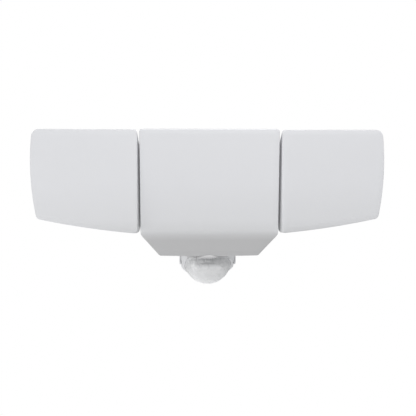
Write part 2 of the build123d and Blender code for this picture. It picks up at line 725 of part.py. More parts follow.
def sensor_ball():
    """White ball shell behind the dome; its top is open for the stem."""
    inner = BALL_R - BALL_WALL
    shell = Sphere(BALL_R) - Sphere(inner)
    shell &= Pos(0, 0, SEAM_UP + 50) * Box(100, 100, 100)
    shell = sensor_place(shell) & box((-FLAT_X, -100, -120), (FLAT_X, 0, 0))
    return shell - rod((0, BALL_Y, BALL_Z), (0, BALL_Y, BALL_Z + 40), BALL_OPENING_R)


def sensor_bezel():
    """Ring that carries the dome: round outside, then bevelled in to the lens."""
    seam = on_sphere(BALL_R, SEAM_UP - 0.1)
    shoulder = on_sphere(BALL_R, BEZEL_SHOULDER)
    seat_r = LENS_R + 0.15
    lip = on_sphere(seat_r, BEZEL_LIP)
    groove = on_sphere(seat_r, -3.0)
    edges = ThreePointArc(seam, (BALL_R, 0), shoulder)
    edges += Line(shoulder, (BEZEL_LIP_R, BEZEL_LIP))
    edges += Line((BEZEL_LIP_R, BEZEL_LIP), lip)
    edges += ThreePointArc(lip, on_sphere(seat_r, -4.4), groove)
    edges += Polyline(groove, (BEZEL_IN_R, -3.0), (BEZEL_IN_R, seam[1]), seam)
    ring = sensor_place(turned(edges)) & box((-FLAT_X, -100, -120), (FLAT_X, 0, 0))
    return ring - rod((-40, BALL_Y, BALL_Z), (40, BALL_Y, BALL_Z), STUD_R + RUN)


def sensor_lens():
    """Milky dome lens with a flange."""
    inner = LENS_R - LENS_WALL
    rim = on_sphere(LENS_R, -2.9)
    inside = on_sphere(inner, -1.2)
    edges = Polyline(inside, (26.0, -1.2), (26.0, -2.9), rim)
    edges += ThreePointArc(rim, on_sphere(LENS_R, -16.0), (0, -LENS_R))
    edges += Line((0, -LENS_R), (0, -inner))
    edges += ThreePointArc((0, -inner), on_sphere(inner, -15.0), inside)
    return sensor_place(turned(edges))


def lens_retainer():
    """Ring that presses the lens's flange into the bezel and carries the board."""
    return sensor_place(tube((0, 0, -1.1), (0, 0, RETAINER_TOP), 26.1, RETAINER_IN_R))


def sensor_board():
    """Round circuit board behind the dome."""
    low = RETAINER_TOP + 0.05
    return sensor_place(rod((0, 0, low), (0, 0, low + BOARD_T), SENSOR_BOARD_R))


def pir_element():
    """Metal can of the heat sensor, with its window."""
    top = RETAINER_TOP
    can = rod((0, 0, top), (0, 0, top - 4.2), 4.1) + rod((0, 0, top), (0, 0, top - 0.8), 4.6)
    return sensor_place(can - box((-2, -1.5, top - 5), (2, 1.5, top - 4.0)))


def photocell():
    """Daylight sensor beside the can."""
    return sensor_place(rod((9, -9, RETAINER_TOP), (9, -9, RETAINER_TOP - 2.4), 2.5))


def sensor_o_ring():
    """Rubber ring in the cup that grips the ball."""
    return Pos(0, BALL_Y, BALL_Z + O_RING_UP) * Torus(O_RING_R, O_RING_T / 2)


def swivel_cheek(side):
    """Arm of the swivel down one flank of the ball, with the stud that the ball tilts on."""
    inner = side * (FLAT_X + CHEEK_GAP)
    outer = side * CHEEK_OUT_X
    top = BOX_BOTTOM_Z + WALL + 1.2
    plate = box((inner, BALL_Y - CHEEK_R, BALL_Z), (outer, BALL_Y + CHEEK_R, top))
    plate += rod((inner, BALL_Y, BALL_Z), (outer, BALL_Y, BALL_Z), CHEEK_R)
    return plate + rod((side * STUD_TIP_X, BALL_Y, BALL_Z), (outer, BALL_Y, BALL_Z), STUD_R)


def swivel_cup():
    """Cup over the ball with two cheeks, and the hollow spigot that it swivels on."""
    inner = BALL_R + CUP_GAP
    outer = inner + CUP_WALL
    low = BOX_BOTTOM_Z + WALL + 0.2 - BALL_Z
    top = SHELF_Z - WALL - 0.2 - BALL_Z
    end = SHELF_Z + 4.0 - BALL_Z
    clip = SHELF_Z + 0.2 - BALL_Z
    neck_r = SPIGOT_OUT_R - 0.8
    bore_r = STEM_R + 0.02
    shoulder = (9.5, sqrt(outer ** 2 - 9.5 ** 2))
    crown = (bore_r, sqrt(inner ** 2 - bore_r ** 2))
    seat_low = O_RING_UP - O_RING_T / 2 - 0.05
    seat_high = O_RING_UP + O_RING_T / 2 + 0.05
    seat_r = O_RING_R + O_RING_T / 2 + 0.1
    edges = Line(on_sphere(inner, low), on_sphere(outer, low))
    edges += ThreePointArc(on_sphere(outer, low), on_sphere(outer, 20), shoulder)
    edges += Polyline(shoulder, (9.5, top), (SPIGOT_OUT_R, top), (SPIGOT_OUT_R, clip),
                      (neck_r, clip), (neck_r, clip + 1.2), (SPIGOT_OUT_R, clip + 1.2),
                      (SPIGOT_OUT_R, end), (bore_r, end), crown)
    edges += ThreePointArc(crown, on_sphere(inner, 24), on_sphere(inner, seat_high))
    edges += Polyline(on_sphere(inner, seat_high), (seat_r, seat_high), (seat_r, seat_low),
                      on_sphere(inner, seat_low))
    edges += ThreePointArc(on_sphere(inner, seat_low), on_sphere(inner, (seat_low + low) / 2),
                           on_sphere(inner, low))
    cup = Pos(0, BALL_Y, BALL_Z) * turned(edges)
    for side in (-1, 1):
        cup += swivel_cheek(side)
    return cup


def swivel_clip():
    """Spring clip in the spigot's groove."""
    z = SHELF_Z + 0.3
    clip = tube((0, BALL_Y, z), (0, BALL_Y, z + 1.0), 8.6, SPIGOT_OUT_R - 0.7)
    return clip - box((-2, BALL_Y, z - 1), (2, BALL_Y - 12, z + 2))


def swivel_stem():
    """Hollow stem with a dished foot that holds the ball up in its cup."""
    foot_r = BALL_R - BALL_WALL - 0.3
    foot = ball_space(foot_r) - ball_space(foot_r - 2.0)
    foot &= rod((0, BALL_Y, BALL_Z), (0, BALL_Y, BALL_Z + 30), STEM_FOOT_R)
    stem = rod((0, BALL_Y, BALL_Z + foot_r - 1.5), (0, BALL_Y, SHELF_Z + 8.0), STEM_R)
    return foot + stem - rod((0, BALL_Y, BALL_Z), (0, BALL_Y, SHELF_Z + 12), 2.0)


def swivel_nut():
    """Nut on the stem above the spigot."""
    plane = Plane(origin=(0, BALL_Y, SHELF_Z + 4.1))
    nut = extrude(plane * RegularPolygon(6.6, 6), 3.2)
    return nut - rod((0, BALL_Y, SHELF_Z), (0, BALL_Y, SHELF_Z + 20), STEM_R + 0.02)


def dial(x):
    """Adjuster knob under the body, with a pointer notch and grip flutes."""
    top = BOX_BOTTOM_Z - 0.4
    knob = rod((x, DIAL_Y, top - DIAL_H), (x, DIAL_Y, top), DIAL_R)
    knob = fillet(knob.edges().sort_by(Axis.Z)[:1], 0.6)
    for i in range(12):
        turn = radians(30 * i + 15)
        fx = x + (DIAL_R + 0.5) * sin(turn)
        fy = DIAL_Y + (DIAL_R + 0.5) * cos(turn)
        knob -= rod((fx, fy, top - DIAL_H - 1), (fx, fy, top - 1), 0.9)
    knob -= box((x - 0.5, DIAL_Y - DIAL_R, top - DIAL_H - 1), (x + 0.5, DIAL_Y, top - DIAL_H + 0.8))
    return knob + rod((x, DIAL_Y, top - 1), (x, DIAL_Y, BOX_BOTTOM_Z + WALL + 4), DIAL_SHAFT_R)


def adjusters():
    """Three adjusters on their small circuit board, on the sensor bay's floor."""
    z = BOX_BOTTOM_Z + WALL + 0.1
    board = box((-26, DIAL_Y - 5, z + 6), (26, DIAL_Y + 5, z + 6 + BOARD_T))
    for x in DIAL_XS:
        board += box((x - 5, DIAL_Y - 5, z), (x + 5, DIAL_Y + 5, z + 6))
        board -= rod((x, DIAL_Y, z - 1), (x, DIAL_Y, z + 5), DIAL_SHAFT_R + RUN)
    return board


# ---------------------------------------------------------------- write every piece

def place_head(shape, side):
    """Move a piece from the right head's frame to its place on one side of the body."""
    placed = Pos(HEAD_X, FRONT_Y, HEAD_Z) * Rot(0, 0, HEAD_YAW) * shape
    return placed if side > 0 else mirror(placed, about=Plane.YZ)


def save(shape, name):
    """Write one named piece."""
    export_step(shape, f"parts/{name}.step")


CENTRE_PIECES = (
    centre_cover, centre_gasket, centre_housing, centre_cover_screws, centre_tray, centre_board,
    centre_leds, inner_screws, driver_board, transformer, capacitors, relay,
    heat_sink, wall_plate, lock_screws, wall_gasket, cable_grommet, terminal_block,
    terminal_screws, earth_screw, pan_pin_clips, sensor_ball, sensor_bezel, sensor_lens,
    lens_retainer, sensor_board, pir_element, photocell, sensor_o_ring, swivel_cup,
    swivel_clip, swivel_stem, swivel_nut, adjusters,
)
HEAD_PIECES = (
    head_cover, head_gasket, head_housing, head_tray, head_board, head_leds, head_screws,
    tilt_bush, knuckle, tilt_nut,
)

for make in CENTRE_PIECES:
    save(make(), make.__name__)

for make in HEAD_PIECES:
    piece = make()
    name = make.__name__.removeprefix("head_")
    save(place_head(piece, -1), f"left_{name}")
    save(place_head(piece, 1), f"right_{name}")

save(pan_pin(), "right_pan_pin")
save(mirror(pan_pin(), about=Plane.YZ), "left_pan_pin")

for dial_name, dial_x in zip(DIAL_NAMES, DIAL_XS):
    save(dial(dial_x), dial_name)
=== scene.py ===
"""Looks of the motion sensor floodlight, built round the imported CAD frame. Metres, as in the frame."""
import json
from math import atan2, cos, pi, radians, sin, sqrt

import bmesh
import bpy
import numpy as np
from mathutils import Matrix, Vector

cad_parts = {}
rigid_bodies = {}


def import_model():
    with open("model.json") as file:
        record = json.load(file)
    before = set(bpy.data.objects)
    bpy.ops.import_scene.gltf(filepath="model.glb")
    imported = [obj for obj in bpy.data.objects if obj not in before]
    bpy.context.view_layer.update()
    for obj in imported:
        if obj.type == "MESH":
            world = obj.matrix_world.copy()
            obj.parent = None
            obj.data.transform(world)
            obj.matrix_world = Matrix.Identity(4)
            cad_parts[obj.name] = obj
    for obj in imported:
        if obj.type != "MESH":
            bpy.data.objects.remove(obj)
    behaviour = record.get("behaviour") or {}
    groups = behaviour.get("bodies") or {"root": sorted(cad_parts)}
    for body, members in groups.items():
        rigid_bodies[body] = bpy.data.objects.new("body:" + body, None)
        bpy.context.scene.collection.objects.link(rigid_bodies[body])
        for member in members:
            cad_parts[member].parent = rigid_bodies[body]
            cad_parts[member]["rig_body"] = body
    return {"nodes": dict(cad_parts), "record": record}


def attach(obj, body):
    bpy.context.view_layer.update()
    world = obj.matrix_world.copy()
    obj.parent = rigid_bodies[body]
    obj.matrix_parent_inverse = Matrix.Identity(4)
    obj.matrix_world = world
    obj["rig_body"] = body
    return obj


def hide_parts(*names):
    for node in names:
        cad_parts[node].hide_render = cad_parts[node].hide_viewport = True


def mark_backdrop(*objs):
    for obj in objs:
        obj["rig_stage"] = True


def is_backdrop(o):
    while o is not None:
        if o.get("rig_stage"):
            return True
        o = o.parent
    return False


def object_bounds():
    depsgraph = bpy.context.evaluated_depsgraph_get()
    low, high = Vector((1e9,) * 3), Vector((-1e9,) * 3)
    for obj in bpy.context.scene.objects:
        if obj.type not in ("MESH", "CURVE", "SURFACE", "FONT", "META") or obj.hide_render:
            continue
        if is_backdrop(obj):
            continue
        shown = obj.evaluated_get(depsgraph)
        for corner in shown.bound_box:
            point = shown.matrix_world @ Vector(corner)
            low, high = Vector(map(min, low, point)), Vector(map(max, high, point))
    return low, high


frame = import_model()
cad_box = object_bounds()
scene = bpy.context.scene
MM = 0.001

# ---- Camera ----
CAM_DISTANCE = 1.0
CAM_AZIMUTH = radians(-2.9)
CAM_ELEVATION = radians(1.6)
CAM_LENS = 86.54
CAM_TARGET = Vector((-0.0019, cad_box[0].y, cad_box[1].z - 0.0797))

# ---- Shapes of the covers, in millimetres, as in the CAD model ----
FRONT_Y = -96.0
TOP_Z = 54.0
FACE_TOP_HALF = 70.5
BEND_HALF = 69.4
BEND_Z = -50.7
KNEE_DROP = 1.5
BEND_BACK = 5.5
CHIN_HALF = 50.1
CHIN_Z = -74.2
CHIN_SAG = 0.6
CHIN_BACK = 16.0
BEND_SOFT = 2.6            # half length of the soft bend
COVER_DEPTH = 10.0
COVER_WALL = 2.2
SIDE_DRAFT = 0.15
NOTCH_R = 30.2
FACE_CORNER_R = 3.0
KNEE_R = 6.0
BALL = Vector((0.0, -48.0, -81.5))
BROW_IN_R = 30.2
BROW_T = 1.6
BROW_DROP = 3.0
BROW_ENDS = (-21.5, 21.5)
BROW_FULL_X = 2.0
BROW_MARK_X = -12.2
BROW_MARK_HALF = 0.8       # half width of the index notch
BROW_MARK_H = 2.0
BROW_END_H = 0.3           # what is left of the lip at its tapered end
BROW_ROUND = 0.5           # rounding of its lower edge
BROW_OVERLAP = 0.5         # how far it runs up behind the chin
LIP_R = 1.1
BAND_W = 5.4               # soft bevel round every face
BAND_DROP = 0.5
BAND_KNEE = 0.22           # share of the bevel that eases in from the flat face

HEAD_ORIGIN = Vector((72.9, -96.0, 53.2))
HEAD_YAW = radians(12.0)
HEAD_INNER_H = 104.0
HEAD_TOP = (109.2, 1.4)
HEAD_BULGE = (110.9, -44.0)
HEAD_LOW = (104.6, -90.0)
HEAD_SAG = (60.0, -97.5)
HEAD_COVER_DEPTH = 8.0
HEAD_TOP_SLOPE = 0.68
HEAD_TOP_START = 1.76

SENSOR_TILT = radians(40.0)
LENS_R = 24.5
LENS_WALL = 1.2
FLANGE_R = 26.0
FLANGE_TOP = -1.2
FLANGE_LOW = -2.9
PILLOW = 0.28              # how far each lens facet bulges


# ---------------------------------------------------------------- mesh helpers

def new_mesh_object(name, verts, faces):
    """Object from millimetre points, with smooth faces and outward normals."""
    mesh = bpy.data.meshes.new(name)
    mesh.from_pydata([tuple(Vector(v) * MM) for v in verts], [], faces)
    mesh.validate()
    bm = bmesh.new()
    bm.from_mesh(mesh)
    bmesh.ops.remove_doubles(bm, verts=bm.verts, dist=0.00001)
    bmesh.ops.recalc_face_normals(bm, faces=bm.faces)
    bm.to_mesh(mesh)
    bm.free()
    mesh.polygons.foreach_set("use_smooth", [True] * len(mesh.polygons))
    obj = bpy.data.objects.new(name, mesh)
    scene.collection.objects.link(obj)
    return obj


def loft(name, rings, close_end=True):
    """Skin over rings of equal point counts; the last ring is closed by a fan if asked."""
    count = len(rings[0])
    verts = [p for ring in rings for p in ring]
    faces = []
    for r in range(len(rings) - 1):
        for i in range(count):
            j = (i + 1) % count
            faces.append((r * count + i, r * count + j, (r + 1) * count + j, (r + 1) * count + i))
    if close_end:
        for r in (0, len(rings) - 1):
            middle = len(verts)
            verts.append(tuple(np.mean(np.array(rings[r]), axis=0)))
            for i in range(count):
                faces.append((r * count + i, r * count + (i + 1) % count, middle))
    return new_mesh_object(name, verts, faces)


def arc_between(a, b, through, count):
    """Points of the circle through three points, from a to b."""
    (ax, ay), (bx, by), (cx, cy) = a, b, through
    d = 2 * (ax * (by - cy) + bx * (cy - ay) + cx * (ay - by))
    ux = ((ax**2 + ay**2) * (by - cy) + (bx**2 + by**2) * (cy - ay) + (cx**2 + cy**2) * (ay - by)) / d
    uy = ((ax**2 + ay**2) * (cx - bx) + (bx**2 + by**2) * (ax - cx) + (cx**2 + cy**2) * (bx - ax)) / d
    radius = sqrt((ax - ux) ** 2 + (ay - uy) ** 2)
    start = atan2(ay - uy, ax - ux)
    end = atan2(by - uy, bx - ux)
    turn = (end - start + pi) % (2 * pi) - pi
    angles = [start + turn * i / (count - 1) for i in range(count)]
    return [(ux + radius * cos(t), uy + radius * sin(t)) for t in angles]


def line_between(a, b, count):
    """Evenly spaced points from a to b."""
    return [tuple(a[k] + (b[k] - a[k]) * i / (count - 1) for k in (0, 1)) for i in range(count)]


def spaced(path, low, high, count):
    """Points of a path between two distances along it, closer together near its ends."""
    pts = np.array(path)
    along = np.concatenate([[0], np.cumsum(np.linalg.norm(np.diff(pts, axis=0), axis=1))])
    share = (1 - np.cos(np.linspace(0.0, pi, count))) / 2
    share = 0.35 * share + 0.65 * np.linspace(0, 1, count)
    want = low + (along[-1] - high - low) * share
    return np.stack([np.interp(want, along, pts[:, k]) for k in (0, 1)], axis=1)


def rounded_loop(sides, radii, per_side=90, per_corner=10):
    """Closed outline from side paths, with corner i (where side i starts) rounded to radii[i]."""
    count = len(sides)
    trims = []
    for i in range(count):
        before = np.array(sides[i - 1])
        after = np.array(sides[i])
        d0 = before[-1] - before[-2]
        d1 = after[1] - after[0]
        turn = abs((atan2(d1[1], d1[0]) - atan2(d0[1], d0[0]) + pi) % (2 * pi) - pi)
        trims.append(radii[i] * np.tan(turn / 2))
    loops = []
    for i in range(count):
        middle = spaced(sides[i], trims[i], trims[(i + 1) % count], per_side)
        loops.append(middle)
    outline = []
    for i in range(count):
        a = loops[i - 1][-1]
        b = loops[i][0]
        corner = np.array(sides[i][0])
        chord = np.linalg.norm(b - a)
        for k in range(1, per_corner):
            t = k / per_corner
            outline.append(corner_point(a, corner, b, t) if chord > 1e-6 else a)
        outline.extend(loops[i])
    return np.array(outline)


def corner_point(a, corner, b, t):
    """Point of the fillet arc from a to b round a corner, at a share t of its turn."""
    bisector = (a + b) / 2 - corner
    reach = np.linalg.norm(bisector)
    trim = np.linalg.norm(a - corner)
    half = atan2(np.linalg.norm(b - a) / 2, reach)
    radius = trim * np.tan(half)
    middle = corner + bisector / reach * sqrt(trim**2 + radius**2)
    s = atan2(*(a - middle)[::-1])
    e = atan2(*(b - middle)[::-1])
    turn = (e - s + pi) % (2 * pi) - pi
    angle = s + turn * t
    return middle + radius * np.array([cos(angle), sin(angle)])


def edge_distance(points, outline):
    """Distance from each point to a closed outline."""
    a = outline
    b = np.roll(outline, -1, axis=0)
    ab = b - a
    length = np.maximum((ab**2).sum(1), 1e-12)
    best = np.full(len(points), 1e9)
    for i in range(len(a)):
        t = np.clip(((points - a[i]) @ ab[i]) / length[i], 0, 1)
        near = a[i] + t[:, None] * ab[i]
        best = np.minimum(best, np.linalg.norm(points - near, axis=1))
    return best


def edge_drop(distance):
    """How far the face falls back near its edge: a broad soft bevel and a rounded lip."""
    lip = np.where(distance < LIP_R, LIP_R - np.sqrt(np.maximum(LIP_R**2 - (LIP_R - distance) ** 2, 0)), 0)
    t = np.clip(1 - distance / BAND_W, 0, 1)
    bevel = np.where(t < BAND_KNEE, t * t / (2 * BAND_KNEE), t - BAND_KNEE / 2)
    return lip + BAND_DROP * bevel / (1 - BAND_KNEE / 2)


# Shares of the way from a face's edge to its middle, closest together in the lip and the bevel
FACE_STEPS = [0.0, 0.0006, 0.0016, 0.003, 0.0048, 0.007, 0.0095, 0.0125, 0.016, 0.022, 0.03, 0.04,
              0.05, 0.06, 0.068, 0.076, 0.084, 0.095, 0.11]
FACE_STEPS += list(np.linspace(0.13, 0.97, 36))


def face_rings(outline, surface):
    """Rings of a face, from its edge inwards. surface(x, z, drop) gives the 3-D point."""
    middle = (outline.min(0) + outline.max(0)) / 2
    rings = []
    for step in FACE_STEPS:
        flat = middle + (outline - middle) * (1 - step)
        drop = edge_drop(edge_distance(flat, outline))
        rings.append([surface(x, z, d) for (x, z), d in zip(flat, drop)])
    return rings


# ---------------------------------------------------------------- materials

def material(name):
    """Empty node material, its node tree and its Principled shader."""
    mat = bpy.data.materials.new(name)
    mat.use_nodes = True
    tree = mat.node_tree
    tree.nodes.clear()
    out = tree.nodes.new("ShaderNodeOutputMaterial")
    shader = tree.nodes.new("ShaderNodeBsdfPrincipled")
    tree.links.new(shader.outputs[0], out.inputs[0])
    return mat, tree, shader


def place(tree):
    """Coordinates that are fixed to the piece."""
    return tree.nodes.new("ShaderNodeTexCoord").outputs["Object"]


def noise(tree, scale, detail=3.0, rough=0.55, coords=None):
    """Noise over the piece's own coordinates."""
    node = tree.nodes.new("ShaderNodeTexNoise")
    node.inputs["Scale"].default_value = scale
    node.inputs["Detail"].default_value = detail
    node.inputs["Roughness"].default_value = rough
    tree.links.new(coords or place(tree), node.inputs["Vector"])
    return node.outputs["Fac"]


def ramp(tree, source, stops):
    """Colour ramp from (position, colour) stops."""
    node = tree.nodes.new("ShaderNodeValToRGB")
    elements = node.color_ramp.elements
    while len(elements) < len(stops):
        elements.new(0.5)
    for element, (position, colour) in zip(elements, stops):
        element.position = position
        element.color = (*colour, 1.0)
    tree.links.new(source, node.inputs["Fac"])
    return node.outputs["Color"]


def grey_range(tree, source, low, high):
    """Value between two limits that follows a noise."""
    node = tree.nodes.new("ShaderNodeMapRange")
    node.inputs["To Min"].default_value = low
    node.inputs["To Max"].default_value = high
    tree.links.new(source, node.inputs["Value"])
    return node.outputs[0]


def bump(tree, shader, height, strength, distance):
    """Fine relief on the shader."""
    node = tree.nodes.new("ShaderNodeBump")
    node.inputs["Strength"].default_value = strength
    node.inputs["Distance"].default_value = distance
    tree.links.new(height, node.inputs["Height"])
    tree.links.new(node.outputs[0], shader.inputs["Normal"])


def scatter(shader, weight, depth):
    """Light that wanders inside the plastic, to a depth in metres."""
    shader.inputs["Subsurface Weight"].default_value = weight
    shader.inputs["Subsurface Radius"].default_value = (depth, depth, depth)
    shader.inputs["Subsurface Scale"].default_value = 1.0


def scaled(colour, factor):
    """Colour made lighter or darker, with no channel over 1."""
    return tuple(min(1.0, c * factor) for c in colour)


def moulded(name, colour, rough, grain, relief, spread=0.03, subsurface=0.0, specular=0.5):
    """Moulded plastic or rubber: cloudy colour, fine grain and varied gloss."""
    mat, tree, shader = material(name)
    cloud = noise(tree, 22.0, 4.0)
    stops = ((0.3, scaled(colour, 1 - spread)), (0.7, scaled(colour, 1 + spread)))
    tree.links.new(ramp(tree, cloud, stops), shader.inputs["Base Color"])
    fine = noise(tree, grain, 2.0, 0.7)
    tree.links.new(grey_range(tree, fine, rough - 0.07, rough + 0.07), shader.inputs["Roughness"])
    bump(tree, shader, fine, relief, 0.00025)
    shader.inputs["Specular IOR Level"].default_value = specular
    if subsurface:
        scatter(shader, subsurface, 0.004)
    return mat


# Painted shade on the opal covers: their colour greys with falling height and is greyest on the
# downward-facing chin.
OPAL_SHADE_FULL_Z = -0.058         # metres: greyest from here down
OPAL_SHADE_NONE_Z = 0.0           # metres: whitest from here up
OPAL_SHADE_STOPS = ((0.0, (0.545, 0.545, 0.548)), (0.16, (0.68, 0.685, 0.695)), (0.35, (0.735, 0.74, 0.755)),
              (1.0, (0.77, 0.775, 0.795)))


def opal(name):
    """Opal diffuser with painted shade: its colour greys towards the bottom of each cover and is greyest on
    the chin, which faces down away from the light.
    """
    mat, tree, shader = material(name)
    split = tree.nodes.new("ShaderNodeSeparateXYZ")
    tree.links.new(place(tree), split.inputs["Vector"])
    # Painted shade: height picks a greyer colour lower down, darkest on the chin.
    height = tree.nodes.new("ShaderNodeMapRange")
    height.inputs["From Min"].default_value = OPAL_SHADE_FULL_Z
    height.inputs["From Max"].default_value = OPAL_SHADE_NONE_Z
    tree.links.new(split.outputs["Z"], height.inputs["Value"])
    shaded_base = ramp(tree, height.outputs[0], OPAL_SHADE_STOPS)
    cloud = grey_range(tree, noise(tree, 22.0, 4.0), 0.994, 1.006)
    tint = tree.nodes.new("ShaderNodeVectorMath")
    tint.operation = "SCALE"
    tree.links.new(shaded_base, tint.inputs[0])
    tree.links.new(cloud, tint.inputs["Scale"])
    tree.links.new(tint.outputs[0], shader.inputs["Base Color"])
    fine = noise(tree, 1500.0, 2.0, 0.7)
    tree.links.new(grey_range(tree, fine, 0.38, 0.52), shader.inputs["Roughness"])
    bump(tree, shader, fine, 0.10, 0.00025)
    scatter(shader, 0.08, 0.004)
    return mat


def metal(name, colour, rough, stretch):
    """Metal with fine drawn lines along one direction."""
    mat, tree, shader = material(name)
    mapping = tree.nodes.new("ShaderNodeMapping")
    mapping.inputs["Scale"].default_value = stretch
    tree.links.new(place(tree), mapping.inputs["Vector"])
    lines = noise(tree, 1.0, 5.0, 0.7, mapping.outputs[0])
    stops = ((0.3, scaled(colour, 0.86)), (0.7, scaled(colour, 1.1)))
    tree.links.new(ramp(tree, lines, stops), shader.inputs["Base Color"])
    tree.links.new(grey_range(tree, lines, rough - 0.1, rough + 0.12), shader.inputs["Roughness"])
    bump(tree, shader, lines, 0.15, 0.0001)
    shader.inputs["Metallic"].default_value = 1.0
    return mat


def circuit(name, board, track, scale):
    """Circuit board: tracks under the solder mask."""
    mat, tree, shader = material(name)
    cells = tree.nodes.new("ShaderNodeTexBrick")
    cells.inputs["Scale"].default_value = scale
    cells.inputs["Mortar Size"].default_value = 0.035
    cells.inputs["Color1"].default_value = (*board, 1)
    cells.inputs["Color2"].default_value = (*scaled(board, 0.85), 1)
    cells.inputs["Mortar"].default_value = (*track, 1)
    swap = tree.nodes.new("ShaderNodeMapping")
    swap.inputs["Rotation"].default_value = (radians(90), 0, 0)
    tree.links.new(place(tree), swap.inputs["Vector"])
    tree.links.new(swap.outputs[0], cells.inputs["Vector"])
    tree.links.new(cells.outputs["Color"], shader.inputs["Base Color"])
    fine = noise(tree, 900.0)
    tree.links.new(grey_range(tree, fine, 0.28, 0.42), shader.inputs["Roughness"])
    bump(tree, shader, cells.outputs["Fac"], 0.4, 0.0001)
    return mat


def phosphor(name):
    """LED packages: yellow phosphor with a paler frame."""
    mat, tree, shader = material(name)
    dots = tree.nodes.new("ShaderNodeTexVoronoi")
    dots.inputs["Scale"].default_value = 700.0
    tree.links.new(place(tree), dots.inputs["Vector"])
    stops = ((0.1, (0.86, 0.72, 0.16)), (0.6, (0.9, 0.8, 0.32)), (1.0, (0.9, 0.88, 0.75)))
    tree.links.new(ramp(tree, dots.outputs["Distance"], stops), shader.inputs["Base Color"])
    tree.links.new(grey_range(tree, dots.outputs["Distance"], 0.3, 0.5), shader.inputs["Roughness"])
    return mat


def milky(name):
    """Milky lens: light scatters inside it, and its gloss is a little uneven."""
    mat, tree, shader = material(name)
    cloud = noise(tree, 60.0, 4.0)
    stops = ((0.3, (0.86, 0.87, 0.88)), (0.7, (0.92, 0.925, 0.93)))
    tree.links.new(ramp(tree, cloud, stops), shader.inputs["Base Color"])
    fine = noise(tree, 1400.0, 2.0, 0.7)
    tree.links.new(grey_range(tree, fine, 0.2, 0.36), shader.inputs["Roughness"])
    bump(tree, shader, fine, 0.06, 0.0002)
    scatter(shader, 0.45, 0.005)
    return mat


MATERIALS = {
    "opal_plastic": opal("opal_plastic"),
    "white_housing": moulded("white_housing", (0.72, 0.725, 0.735), 0.55, 1100, 0.28, 0.02),
    # Black rubber of the seals. Where the head seals show in the gaps beside the middle panel, their black
    # also acts as painted shade for the shade in those gaps.
    "black_rubber": moulded("black_rubber", (0.030, 0.029, 0.024), 0.75, 1300, 0.25, 0.12, specular=0.3),
    "steel_screws": metal("steel_screws", (0.60, 0.60, 0.61), 0.34, (900, 900, 900)),
    "heat_spreader": metal("heat_spreader", (0.78, 0.79, 0.80), 0.36, (60, 60, 1800)),
    "led_board": circuit("led_board", (0.86, 0.86, 0.84), (0.70, 0.68, 0.60), 22.0),
    "led_package": phosphor("led_package"),
    "circuit_board": circuit("circuit_board", (0.02, 0.16, 0.06), (0.05, 0.30, 0.12), 90.0),
    "plate_plastic": moulded("plate_plastic", (0.66, 0.66, 0.645), 0.6, 900, 0.3, 0.035),
    "terminal_plastic": moulded("terminal_plastic", (0.70, 0.68, 0.58), 0.45, 1200, 0.15, 0.03),
    "component_black": moulded("component_black", (0.035, 0.035, 0.038), 0.42, 1200, 0.2, 0.15),
    "bush_plastic": moulded("bush_plastic", (0.72, 0.71, 0.68), 0.38, 1200, 0.1, 0.03, subsurface=0.1),
    "lens_milky": milky("lens_milky"),
    "sensor_can": metal("sensor_can", (0.66, 0.63, 0.54), 0.3, (900, 900, 300)),
    "dial_plastic": moulded("dial_plastic", (0.075, 0.075, 0.08), 0.5, 1300, 0.3, 0.1),
}
SLOT_OF = {s["node"]: s["material_slot"] for s in frame["record"]["subparts"]}
for node, obj in frame["nodes"].items():
    obj.data.materials.clear()
    obj.data.materials.append(MATERIALS[SLOT_OF[node]])


def finish_piece(obj, node, body):
    """Give a detailed piece its node's material and body, and hide the node."""
    slot = SLOT_OF[node]
    obj.data.materials.clear()
    obj.data.materials.append(MATERIALS[slot])
    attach(obj, body)
    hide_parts(node)
    return obj


SOFT_ANGLE = radians(32.0)   # edges sharper than this are rounded
BODY_OF = {n: o["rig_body"] for n, o in frame["nodes"].items()}


def softened(node, width):
    """Copy of a rigid CAD node whose edges are rounded to a width in millimetres."""
    source = frame["nodes"][node]
    mesh = source.data.copy()
    mesh.name = "soft_" + node
    bm = bmesh.new()
    bm.from_mesh(mesh)
    bmesh.ops.remove_doubles(bm, verts=bm.verts, dist=0.000002)
    bmesh.ops.dissolve_limit(bm, angle_limit=radians(1.0), verts=bm.verts, edges=bm.edges)
    bm.to_mesh(mesh)
    bm.free()
    obj = bpy.data.objects.new("soft_" + node, mesh)
    scene.collection.objects.link(obj)
    bevel = obj.modifiers.new("bevel", "BEVEL")
    bevel.width = width * MM
    bevel.segments = 3
    bevel.limit_method = "ANGLE"
    bevel.angle_limit = SOFT_ANGLE
    bevel.use_clamp_overlap = True
    bevel.harden_normals = False
    mesh.polygons.foreach_set("use_smooth", [True] * len(mesh.polygons))
    normal = obj.modifiers.new("normals", "WEIGHTED_NORMAL")
    normal.keep_sharp = True
    return finish_piece(obj, node, BODY_OF[node])


# ---------------------------------------------------------------- centre cover

def face_y(z):
    """Depth of the centre face at a height, with its soft bend."""
    lean = BEND_BACK / (TOP_Z - BEND_Z)
    chin_lean = (CHIN_BACK - BEND_BACK) / (BEND_Z - CHIN_Z)
    below = BEND_Z - z
    soft = BEND_SOFT
    if below <= -soft:
        extra = 0.0
    elif below >= soft:
        extra = below
    else:
        extra = (below + soft) ** 2 / (4 * soft)
    return FRONT_Y + lean * (TOP_Z - z) + (chin_lean - lean) * extra


